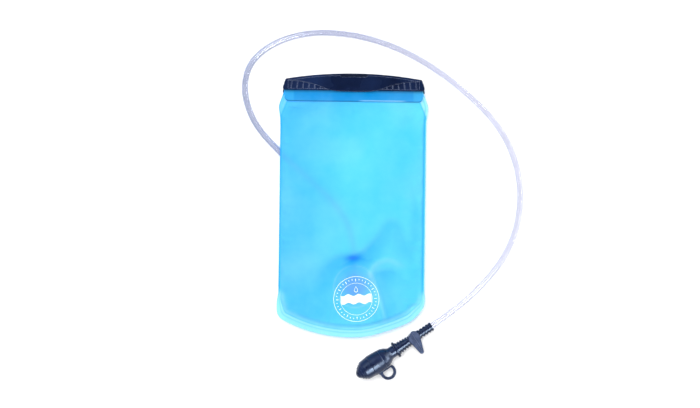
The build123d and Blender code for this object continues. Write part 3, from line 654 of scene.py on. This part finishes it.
def flap_colour(x, y):
    """Colour of the flap and of the fold round the stiffener, with a painted highlight along part of its free
    edge and a painted shadow under the lock.
    """
    colour = np.tile(FLAP_BLUE, (len(x), 1))
    colour = blend(colour, FLAP_END, np.clip((np.abs(x) - 78) / 2.5, 0, 1) * 0.9)
    colour = blend(colour, TOP_CYAN, 0.18 * np.clip((146 - y) / 8, 0, 1))
    corner = np.clip(np.abs(x) - (NECK_HALF - FLAP_CORNER), 0, FLAP_CORNER)
    free_edge = FLAP_EDGE_Y + FLAP_CORNER - np.sqrt(FLAP_CORNER**2 - corner**2)
    # painted highlight: a pale line along the free edge between about 4 and 72 mm, where the navy edge line
    # thins
    flap_highlight = smooth_step((x - 4) / 10) * smooth_step((72 - x) / 10)
    colour = blend(colour, NAVY_EDGE_AND_SHADOW, (0.8 - 0.5 * flap_highlight) * np.exp(-(((y - free_edge) / 0.8) ** 2)))
    colour = blend(colour, PALE_CYAN, 0.8 * flap_highlight * np.exp(-(((y - free_edge - 1.2) / 0.5) ** 2)))
    # painted shadow: the top of the flap darkens to navy under the lip of the lock
    return blend(colour, NAVY_EDGE_AND_SHADOW, 0.6 * np.clip((y - 148.2) / 3.5, 0, 1))


# The mouth folds round its stiffener and comes back as a flap in front of the wall.
BEAD_Y = 160.6
FOLD_Z = 15.25
FLAP_EDGE_Y = 137.4
FLAP_CORNER = 5.5
FLAP_WAVE = 38.0
FOLD_TURN = 0.62 * math.pi
FOLD_STEPS = 14
FLAP_STEPS = 16


def add_flap(places, heights, colours, faces, radius, end_z, lift):
    """Carries a wall's top edge round the stiffener and down to the free edge of the flap."""
    top = places[wall_top]
    columns = len(wall_top)
    turns = np.linspace(-FOLD_TURN, FOLD_TURN, FOLD_STEPS)
    path = [(BEAD_Y + radius * math.cos(t), FOLD_Z + radius * math.sin(t), False) for t in turns]
    levels = list(np.linspace(SLOT_END_Y, FLAP_EDGE_Y + 1.2, FLAP_STEPS))
    levels += [FLAP_EDGE_Y + 0.6, FLAP_EDGE_Y]
    path += [(y, end_z, True) for y in levels]
    before = wall_top
    for y, z, hanging in path:
        row = len(places) + np.arange(columns)
        to_edge = FLAP_CORNER - (y - FLAP_EDGE_Y)
        cut = FLAP_CORNER - math.sqrt(FLAP_CORNER**2 - to_edge**2) if hanging and to_edge > 0 else 0
        x = top[:, 0] * (NECK_HALF - cut) / NECK_HALF
        level = np.full(columns, y)
        droop = (SLOT_END_Y - y) / (SLOT_END_Y - FLAP_EDGE_Y) if hanging else 0
        wave = droop * (0.5 + smooth_noise(x, level, FLAP_WAVE, FLAP_SEED)) * lift
        places = np.vstack([places, np.column_stack([x, level])])
        heights = np.concatenate([heights, np.full(columns, z) + wave])
        colours = np.vstack([colours, flap_colour(x, level)])
        for k in range(columns - 1):
            faces.append((before[k], before[k + 1], row[k + 1], row[k]))
        before = row
    return places, heights, colours, faces


def make_wall(name, node, height, fold_table, ridge_table, hose_share, knot_shade_share, radius, end_z, lift, flip):
    """A wall of the bag with its fold and flap, coloured point by point with painted shade and highlights,
    and given its thickness.
    """
    x, y = wall_places.T
    fold_shade = folds(x, y, fold_table)[1]
    ridge_highlight = folds(x, y, ridge_table)[1]
    colours = wall_colour(x, y, fold_shade, ridge_highlight, hose_share, knot_shade_share)
    places, heights, colours, faces = add_flap(
        wall_places, height(x, y), colours, list(wall_faces), radius, end_z, lift
    )
    if node == "back_film":
        inside_hole = port_distance(*places.T) < SPIGOT_HOLE
        faces = [f for f in faces if not all(inside_hole[i] for i in f)]
    if flip:
        faces = [f[::-1] for f in faces]
    wall = as_mesh(name, np.column_stack([places, heights]), faces)
    tint = wall.data.attributes.new("film_colour_and_shading", "FLOAT_COLOR", "POINT")
    opaque = np.column_stack([colours, np.ones(len(colours))])
    tint.data.foreach_set("color", opaque.astype(np.float32).ravel())
    clean_loose(wall.data)
    thick = wall.modifiers.new("thickness", "SOLIDIFY")
    thick.thickness = FILM * MM
    thick.offset = 0
    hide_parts(node)
    return wall


def clean_loose(mesh):
    """Removes the points that no face uses."""
    work = bmesh.new()
    work.from_mesh(mesh)
    bmesh.ops.delete(work, geom=[v for v in work.verts if not v.link_faces], context="VERTS")
    work.to_mesh(mesh)
    work.free()


front_wall = make_wall(
    "front_wall",
    "front_film",
    front_height,
    FRONT_FOLDS,
    FRONT_RIDGES,
    hose_share=0.14,
    knot_shade_share=0.7,
    radius=2.3,
    end_z=15.75,
    lift=0.5,
    flip=False,
)
back_wall = make_wall(
    "back_wall",
    "back_film",
    back_height,
    BACK_FOLDS,
    [],
    hose_share=0.45,
    knot_shade_share=0.0,
    radius=2.8,
    end_z=16.3,
    lift=0.6,
    flip=True,
)

# ---- printed badge on the front wall: rings, ticks, a wavy band and a drop
BADGE_CENTRE = (6.8, -124.0)
BADGE_TILT = 3.0
BADGE_RINGS = [(30.2, 29.65), (21.4, 21.0)]
BADGE_TICKS = 36
BADGE_TICK = (23.6, 27.0, 0.9)
BADGE_BAND = 5.6
BADGE_WAVE = 1.3
BADGE_WAVE_PITCH = 14.0
DROP_HALF = (3.4, 4.2)
DROP_Y = 13.2
DROP_POWER = 1.4
DROP_INSIDE = 0.78
DROP_SHIFT = 0.21
PRINT_LIFT = 0.06
PRINT_THICK = 0.10


def on_front_wall(name, flat, faces):
    """Lays a flat drawing, centred on the badge, on the front wall as a thin layer of ink."""
    turn = math.radians(BADGE_TILT)
    flat = np.asarray(flat, float)
    x = BADGE_CENTRE[0] + flat[:, 0] * math.cos(turn) - flat[:, 1] * math.sin(turn)
    y = BADGE_CENTRE[1] + flat[:, 0] * math.sin(turn) + flat[:, 1] * math.cos(turn)
    z = front_height(x, y)
    piece = as_mesh(name, np.column_stack([x, y, z + FILM / 2 + PRINT_LIFT]), faces)
    thick = piece.modifiers.new("thickness", "SOLIDIFY")
    thick.thickness = PRINT_THICK * MM
    thick.offset = 1
    return piece


def strip(inner, outer, closed=False):
    """Points and faces between two lines with the same number of points."""
    count = len(inner)
    faces = [(k, k + 1, count + k + 1, count + k) for k in range(count - 1)]
    if closed:
        faces.append((count - 1, 0, count, 2 * count - 1))
    return list(inner) + list(outer), faces


def circle(radius, count=96):
    """Points round a circle."""
    turns = np.linspace(0, 2 * math.pi, count, endpoint=False)
    return np.column_stack([radius * np.cos(turns), radius * np.sin(turns)])


def make_badge():
    """The badge as one thin layer of ink."""
    points, faces = [], []

    def add(part):
        first = len(points)
        points.extend(part[0])
        faces.extend(tuple(first + i for i in face) for face in part[1])

    for outer, inner in BADGE_RINGS:
        add(strip(circle(inner), circle(outer), closed=True))
    near, far, width = BADGE_TICK
    for tick in range(BADGE_TICKS):
        turn = 2 * math.pi * tick / BADGE_TICKS
        direction = np.array([math.cos(turn), math.sin(turn)])
        across = np.array([-math.sin(turn), math.cos(turn)])
        long_tick = near if tick % 3 == 0 else (near + far) / 2
        low = [direction * long_tick - across * width / 2, direction * far - across * width / 2]
        high = [direction * long_tick + across * width / 2, direction * far + across * width / 2]
        add(strip(high, low))
    reach = math.sqrt(BADGE_RINGS[1][1] ** 2 - BADGE_BAND**2)
    x = np.linspace(-reach, reach, 49)
    wave = BADGE_WAVE * np.sin(x * 2 * math.pi / BADGE_WAVE_PITCH)
    rows = [np.column_stack([x, level + wave]) for level in np.linspace(-BADGE_BAND, BADGE_BAND, 9)]
    for low, high in zip(rows, rows[1:]):
        add(strip(high, low))
    turns = np.linspace(0, 2 * math.pi, 48, endpoint=False)
    half_x, half_y = DROP_HALF
    drop_x = half_x * np.sin(turns) * np.sin(turns / 2) ** DROP_POWER
    drop = np.column_stack([drop_x, DROP_Y + half_y * np.cos(turns)])
    add(strip(drop * DROP_INSIDE + (0, DROP_Y * DROP_SHIFT), drop, closed=True))
    badge = on_front_wall("badge_print", points, faces)
    return badge


badge = make_badge()


# ---- materials
def new_material(name):
    """A material with its node tree, its shader and the place of each point on its object."""
    material = bpy.data.materials.new(name)
    material.use_nodes = True
    tree = material.node_tree
    shader = tree.nodes["Principled BSDF"]
    where = tree.nodes.new("ShaderNodeTexCoord").outputs["Object"]
    return material, tree, shader, where


def noise_node(tree, where, size, detail=4.0, roughness=0.55):
    """Noise whose features are about size millimetres wide."""
    node = tree.nodes.new("ShaderNodeTexNoise")
    node.inputs["Scale"].default_value = 1 / (size * MM)
    node.inputs["Detail"].default_value = detail
    node.inputs["Roughness"].default_value = roughness
    tree.links.new(where, node.inputs["Vector"])
    return node.outputs["Fac"]


def ramp(tree, value, stops):
    """Colours or greys at places along a value."""
    node = tree.nodes.new("ShaderNodeValToRGB")
    elements = node.color_ramp.elements
    while len(elements) < len(stops):
        elements.new(0.5)
    for element, (place, colour) in zip(elements, stops):
        element.position = place
        element.color = (*colour, 1) if isinstance(colour, tuple) else (colour, colour, colour, 1)
    tree.links.new(value, node.inputs["Fac"])
    return node.outputs["Color"]


def between(tree, value, low, high, from_low=0.0, from_high=1.0):
    """A value moved from one range to another."""
    node = tree.nodes.new("ShaderNodeMapRange")
    node.inputs["From Min"].default_value = from_low
    node.inputs["From Max"].default_value = from_high
    node.inputs["To Min"].default_value = low
    node.inputs["To Max"].default_value = high
    tree.links.new(value, node.inputs["Value"])
    return node.outputs["Result"]


def bump(tree, shader, height, depth, strength=1.0):
    """Relief of depth millimetres from a height of 0 to 1."""
    node = tree.nodes.new("ShaderNodeBump")
    node.inputs["Strength"].default_value = strength
    node.inputs["Distance"].default_value = depth * MM
    tree.links.new(height, node.inputs["Height"])
    tree.links.new(node.outputs["Normal"], shader.inputs["Normal"])


def edge_highlight_mask(tree, radius):
    """Mask of the painted edge highlights: 1 on the outer and inner edges of a solid and 0 on its faces."""
    round_normal = tree.nodes.new("ShaderNodeBevel")
    round_normal.samples = 6
    round_normal.inputs["Radius"].default_value = radius * MM
    straight = tree.nodes.new("ShaderNodeNewGeometry")
    turn = tree.nodes.new("ShaderNodeVectorMath")
    turn.operation = "DOT_PRODUCT"
    tree.links.new(round_normal.outputs["Normal"], turn.inputs[0])
    tree.links.new(straight.outputs["Normal"], turn.inputs[1])
    return between(tree, turn.outputs["Value"], 1.0, 0.0, 0.80, 0.995)


def mixed(tree, share, low, high):
    """Colour between two others."""
    node = tree.nodes.new("ShaderNodeMix")
    node.data_type = "RGBA"
    tree.links.new(share, node.inputs["Factor"])
    for socket, colour in ((node.inputs[6], low), (node.inputs[7], high)):
        if isinstance(colour, tuple):
            socket.default_value = (*colour, 1)
        else:
            tree.links.new(colour, socket)
    return node.outputs[2]


def moulded(
    name, dark, light, edge_highlight, rough, grain=0.35, relief=0.02, blotch=9.0, shine=0.3, wear_and_highlight=0.35, top=None
):
    """Injection-moulded plastic: faint flow marks, a fine grain in its gloss and paler edges, which are
    painted highlights.
    """
    material, tree, shader, where = new_material(name)
    flow = noise_node(tree, where, blotch)
    colour = ramp(tree, flow, [(0.30, dark), (0.72, light)])
    if top:
        level, top_colour = top
        split = tree.nodes.new("ShaderNodeSeparateXYZ")
        tree.links.new(where, split.inputs[0])
        raised = between(tree, split.outputs["Z"], 0.0, 1.0, level * MM, (level + 0.1) * MM)
        colour = mixed(tree, raised, colour, top_colour)
    # painted highlight: edges and rib tops are turned paler
    tree.links.new(mixed(tree, edge_highlight_mask(tree, wear_and_highlight), colour, edge_highlight), shader.inputs["Base Color"])
    fine = noise_node(tree, where, grain, detail=2.0)
    tree.links.new(between(tree, flow, rough[0], rough[1], 0.3, 0.7), shader.inputs["Roughness"])
    bump(tree, shader, fine, relief)
    shader.inputs["Specular IOR Level"].default_value = shine
    shader.inputs["Specular Tint"].default_value = (0.62, 0.78, 1.0, 1)
    return material


def film_material(name, body_share, gleam):
    """Frosted film: light goes through it tinted, and its own blue shows on top."""
    material, tree, shader, where = new_material(name)
    tint = tree.nodes.new("ShaderNodeAttribute")
    tint.attribute_name = "film_colour_and_shading"
    cloud = noise_node(tree, where, 45.0, detail=3.0)
    light = between(tree, cloud, 0.0, 0.12, 0.35, 0.75)
    colour = mixed(tree, light, tint.outputs["Color"], tuple(PALE_CYAN))
    tree.links.new(colour, shader.inputs["Base Color"])
    fine = noise_node(tree, where, 0.9, detail=3.0)
    tree.links.new(between(tree, fine, 0.30, 0.46, 0.3, 0.7), shader.inputs["Roughness"])
    bump(tree, shader, fine, 0.02, 0.6)
    shader.inputs["Specular IOR Level"].default_value = gleam
    glow = tree.nodes.new("ShaderNodeBsdfTranslucent")
    tree.links.new(colour, glow.inputs["Color"])
    body = tree.nodes.new("ShaderNodeMixShader")
    body.inputs["Fac"].default_value = 0.30
    tree.links.new(shader.outputs[0], body.inputs[1])
    tree.links.new(glow.outputs[0], body.inputs[2])
    through = tree.nodes.new("ShaderNodeBsdfTransparent")
    half = tree.nodes.new("ShaderNodeMix")
    half.data_type = "RGBA"
    half.inputs["Factor"].default_value = 0.5
    half.inputs[6].default_value = (1, 1, 1, 1)
    tree.links.new(colour, half.inputs[7])
    tree.links.new(half.outputs[2], through.inputs["Color"])
    mix = tree.nodes.new("ShaderNodeMixShader")
    tree.links.new(between(tree, cloud, body_share[0], body_share[1], 0.3, 0.7), mix.inputs["Fac"])
    tree.links.new(through.outputs[0], mix.inputs[1])
    tree.links.new(body.outputs[0], mix.inputs[2])
    tree.links.new(mix.outputs[0], tree.nodes["Material Output"].inputs["Surface"])
    return material


def tube_material(name, near_shares, far_shares, near_colours, far_colours):
    """One surface of a clear tube: it shows most where it is seen edge on, and lights glint on it."""
    material, tree, shader, where = new_material(name)
    facing = tree.nodes.new("ShaderNodeLayerWeight")
    facing.inputs["Blend"].default_value = 0.5
    split = tree.nodes.new("ShaderNodeSeparateXYZ")
    tree.links.new(where, split.inputs[0])
    along = between(tree, split.outputs["X"], 0.0, 1.0, -0.14, 0.12)
    cloud = noise_node(tree, where, 40.0, detail=3.0)
    near = ramp(tree, cloud, [(0.3, near_colours[0]), (0.7, near_colours[1])])
    far = ramp(tree, cloud, [(0.3, far_colours[0]), (0.7, far_colours[1])])
    tree.links.new(mixed(tree, along, near, far), shader.inputs["Base Color"])
    shader.inputs["Roughness"].default_value = 0.15
    fine = noise_node(tree, where, 14.0, detail=1.0)
    bump(tree, shader, fine, 0.03, 0.15)
    through = tree.nodes.new("ShaderNodeBsdfTransparent")
    through.inputs["Color"].default_value = (0.99, 0.99, 1.0, 1)
    mix = tree.nodes.new("ShaderNodeMixShader")
    near_share = ramp(tree, facing.outputs["Facing"], near_shares)
    far_share = ramp(tree, facing.outputs["Facing"], far_shares)
    tree.links.new(mixed(tree, along, near_share, far_share), mix.inputs["Fac"])
    tree.links.new(through.outputs[0], mix.inputs[1])
    tree.links.new(shader.outputs[0], mix.inputs[2])
    gloss = tree.nodes.new("ShaderNodeBsdfGlossy")
    gloss.inputs["Roughness"].default_value = 0.14
    coat = tree.nodes.new("ShaderNodeMixShader")
    tree.links.new(ramp(tree, facing.outputs["Facing"], [(0.2, 0.04), (0.9, 0.10)]), coat.inputs["Fac"])
    tree.links.new(mix.outputs[0], coat.inputs[1])
    tree.links.new(gloss.outputs[0], coat.inputs[2])
    tree.links.new(coat.outputs[0], tree.nodes["Material Output"].inputs["Surface"])
    return material


def ink_material():
    """Screen-printed ink, thin in places."""
    material, tree, shader, where = new_material("white_ink")
    wear_and_highlight = noise_node(tree, where, 1.2, detail=5.0)
    ink = ramp(tree, wear_and_highlight, [(0.25, (0.50, 0.80, 0.95)), (0.5, (0.84, 0.94, 1.0))])
    tree.links.new(ink, shader.inputs["Base Color"])
    tree.links.new(between(tree, wear_and_highlight, 0.35, 0.6), shader.inputs["Roughness"])
    bump(tree, shader, wear_and_highlight, 0.01)
    return material


film = film_material("blue_film", body_share=(0.50, 0.58), gleam=0.08)
navy = moulded(
    "navy_plastic", (0.001, 0.003, 0.020), (0.002, 0.007, 0.040), (0.04, 0.08, 0.22), (0.24, 0.34), shine=0.4
)
cap_navy = moulded(
    "cap_plastic", (0.001, 0.004, 0.026), (0.003, 0.009, 0.048), (0.04, 0.08, 0.22), (0.26, 0.34), shine=0.6
)
lock_navy = moulded(
    "lock_plastic",
    (0.001, 0.003, 0.016),
    (0.003, 0.011, 0.050),
    (0.32, 0.38, 0.56),
    (0.24, 0.32),
    shine=0.12,
    blotch=60.0,
    wear_and_highlight=0.34,
    top=(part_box("slide_lock")[1].z / MM - 0.3, (0.004, 0.007, 0.020)),
)
lever_grey = moulded(
    "lever_plastic", (0.012, 0.018, 0.058), (0.036, 0.050, 0.118), (0.15, 0.18, 0.32), (0.34, 0.48), shine=0.5
)
collar_soft = moulded(
    "collar_rubber",
    (0.001, 0.003, 0.020),
    (0.002, 0.007, 0.036),
    (0.05, 0.09, 0.24),
    (0.18, 0.26),
    grain=0.25,
    shine=0.6,
)
port_blue = moulded("port_plastic", (0.30, 0.36, 0.78), (0.40, 0.46, 0.88), (0.62, 0.70, 0.98), (0.25, 0.40))
port_dark = moulded(
    "port_dark_plastic", (0.03, 0.06, 0.24), (0.05, 0.10, 0.34), (0.15, 0.22, 0.5), (0.30, 0.45)
)
core_grey = moulded("acetal", (0.42, 0.45, 0.50), (0.56, 0.60, 0.64), (0.7, 0.72, 0.76), (0.35, 0.5))
seal_black = moulded(
    "seal_rubber", (0.012, 0.012, 0.014), (0.022, 0.022, 0.025), (0.05, 0.05, 0.05), (0.5, 0.7)
)
silicone = moulded("silicone", (0.30, 0.56, 0.80), (0.42, 0.70, 0.90), (0.6, 0.85, 0.95), (0.30, 0.45))
bead_white = moulded("bead_plastic", (0.62, 0.72, 0.80), (0.74, 0.82, 0.88), (0.85, 0.9, 0.93), (0.35, 0.5))
# the hose is greyer on the left, where it lies beside the bag, than on the right
LAVENDER_GREY = ((0.16, 0.22, 0.43), (0.23, 0.30, 0.51))
PALE_LAVENDER = ((0.30, 0.33, 0.58), (0.38, 0.41, 0.66))
tube_outside = tube_material(
    "tube_outside",
    [(0.10, 0.12), (0.45, 0.24), (0.85, 0.30)],
    [(0.30, 0.06), (0.60, 0.13), (0.92, 0.60)],
    LAVENDER_GREY,
    PALE_LAVENDER,
)
tube_bore = tube_material(
    "tube_bore",
    [(0.10, 0.16), (0.40, 0.36), (0.80, 0.90)],
    [(0.25, 0.09), (0.50, 0.28), (0.80, 0.95)],
    LAVENDER_GREY,
    PALE_LAVENDER,
)
painted = {
    "mouth_bead": bead_white,
    "slide_lock": lock_navy,
    "port_flange": port_blue,
    "port_nut": port_dark,
    "port_o_ring": seal_black,
    "port_elbow": port_dark,
    "inlet_collar": collar_soft,
    "valve_body": navy,
    "valve_plug": core_grey,
    "plug_seal_upper": seal_black,
    "plug_seal_lower": seal_black,
    "shutoff_lever": lever_grey,
    "outlet_collar": collar_soft,
    "bite_stem": navy,
    "bite_housing": cap_navy,
    "bite_valve": silicone,
    "dust_cap": cap_navy,
}
for node, material in painted.items():
    mesh = nodes[node].data
    mesh.materials.clear()
    mesh.materials.append(material)
front_wall.data.materials.append(film)
back_wall.data.materials.append(film)
hose.data.materials.append(tube_outside)
hose.data.materials.append(tube_bore)
# the tube's faces were made in pairs, the outer one first
for face in hose.data.polygons:
    face.material_index = 1 if face.index % 2 else 0
badge.data.materials.append(ink_material())


# ---- floor and light
def make_stage():
    """A pale floor under the object."""
    low, high = cad_box
    bpy.ops.mesh.primitive_plane_add(size=12, location=((low.x + high.x) / 2, (low.y + high.y) / 2, 0))
    floor = bpy.context.object
    floor.name = "floor"
    material, tree, shader, where = new_material("pale_floor")
    shader.inputs["Base Color"].default_value = (0.93, 0.93, 0.935, 1)
    shader.inputs["Roughness"].default_value = 0.9
    shader.inputs["Emission Color"].default_value = (1, 1, 1, 1)
    shader.inputs["Emission Strength"].default_value = 0.05
    floor.data.materials.append(material)


def make_light():
    """A bright ring of sky with a dark top, so that level faces keep their own colour, and soft lamps."""
    world = bpy.data.worlds.new("studio")
    world.use_nodes = True
    tree = world.node_tree
    split = tree.nodes.new("ShaderNodeSeparateXYZ")
    tree.links.new(tree.nodes.new("ShaderNodeTexCoord").outputs["Generated"], split.inputs[0])
    sky = ramp(tree, split.outputs["Z"], [(0.0, 0.90), (0.55, 1.0), (0.78, 0.55), (0.92, 0.10)])
    tree.links.new(sky, tree.nodes["Background"].inputs["Color"])
    tree.nodes["Background"].inputs["Strength"].default_value = 0.55
    bpy.context.scene.world = world
    for name, place, size, power, colour, diffuse, glossy in (
        ("overhead", (-0.15, 0.25, 2.0), (1.5, 1.5), 56, (1.0, 1.0, 1.0), True, False),
        ("key", (0.70, -1.15, 1.62), (1.2, 1.2), 60, (0.96, 0.98, 1.0), False, True),
        ("spark", (0.56, -0.88, 1.74), (0.40, 0.40), 14, (1.0, 1.0, 1.0), False, True),
        ("strip", (1.7, 0.3, 0.95), (3.0, 0.4), 60, (1.0, 1.0, 1.0), False, True),
        ("side", (-0.9, 1.1, 1.5), (1.2, 1.2), 8, (0.85, 0.92, 1.0), True, True),
    ):
        data = bpy.data.lights.new(name, "AREA")
        data.shape = "RECTANGLE"
        data.size, data.size_y = size
        data.energy = power
        data.color = colour
        lamp = bpy.data.objects.new(name, data)
        lamp.location = place
        lamp.rotation_euler = (-Vector(place)).to_track_quat("-Z", "Y").to_euler()
        lamp.visible_diffuse = diffuse
        lamp.visible_glossy = glossy
        bpy.context.scene.collection.objects.link(lamp)
    bpy.context.scene.view_settings.view_transform = "Standard"


make_stage()
make_light()

bpy.context.view_layer.update()
